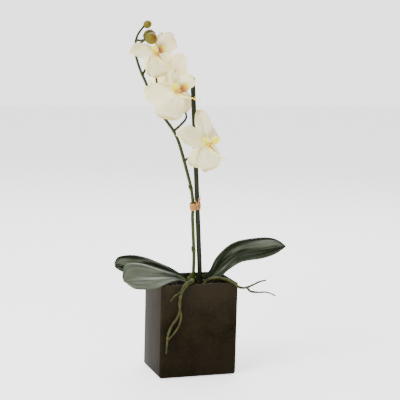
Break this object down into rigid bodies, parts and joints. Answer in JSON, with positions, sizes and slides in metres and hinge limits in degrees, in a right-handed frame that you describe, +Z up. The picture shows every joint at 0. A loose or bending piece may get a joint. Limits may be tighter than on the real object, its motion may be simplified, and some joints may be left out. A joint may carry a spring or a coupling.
{
  "type": "potted orchid",
  "caption": "Moth orchid in a rectangular glazed pot: arching spike tied to a cane stake, white flowers with yellow lips, closed buds, broad leaves and aerial roots over the rim.",
  "frame": {"origin": "centre of the pot's underside", "axes": "+Z up; -Y is the side the flowers face; X runs along the pot's wider side, the flower spike arching towards -X"},
  "size_m": [0.2683, 0.1254, 0.5342],
  "materials": {
    "glazed_clay": "semi-gloss dark bronze-brown glaze, mottled",
    "bark": "rough bark chips",
    "cane": "dark green stained cane, satin",
    "stem": "living green stem, satin",
    "leaf": "dark green, glossy and leathery",
    "root": "grey-green aerial root, matte",
    "raffia": "dry tan raffia, matte",
    "bud": "olive-yellow bud, satin",
    "tepal": "warm white petal, soft satin",
    "lip": "yellow with red-brown freckles",
    "column": "cream"
  },
  "bodies": {
    "root": {"bud_1": "bud", "bud_2": "bud", "bud_2_stalk": "stem", "bud_3": "bud", "bud_3_stalk": "stem", "crown": "stem", "flower_a_column": "column", "flower_a_dorsal_sepal": "tepal", "flower_a_lateral_sepal_left": "tepal", "flower_a_lateral_sepal_right": "tepal", "flower_a_lip": "lip", "flower_a_petal_left": "tepal", "flower_a_petal_right": "tepal", "flower_a_stalk": "stem", "flower_b_column": "column", "flower_b_dorsal_sepal": "tepal", "flower_b_lateral_sepal_left": "tepal", "flower_b_lateral_sepal_right": "tepal", "flower_b_lip": "lip", "flower_b_petal_left": "tepal", "flower_b_petal_right": "tepal", "flower_b_stalk": "stem", "flower_c_column": "column", "flower_c_dorsal_sepal": "tepal", "flower_c_lateral_sepal_left": "tepal", "flower_c_lateral_sepal_right": "tepal", "flower_c_lip": "lip", "flower_c_petal_left": "tepal", "flower_c_petal_right": "tepal", "flower_c_stalk": "stem", "flower_d_column": "column", "flower_d_dorsal_sepal": "tepal", "flower_d_lateral_sepal_left": "tepal", "flower_d_lateral_sepal_right": "tepal", "flower_d_lip": "lip", "flower_d_petal_left": "tepal", "flower_d_petal_right": "tepal", "flower_d_stalk": "stem", "flower_spike": "stem", "growing_medium": "bark", "leaf_left_back": "leaf", "leaf_left_front": "leaf", "leaf_right": "leaf", "pot": "glazed_clay", "raffia_tie": "raffia", "root_left": "root", "root_right": "root", "stake": "cane"}
  },
  "joints": []
}
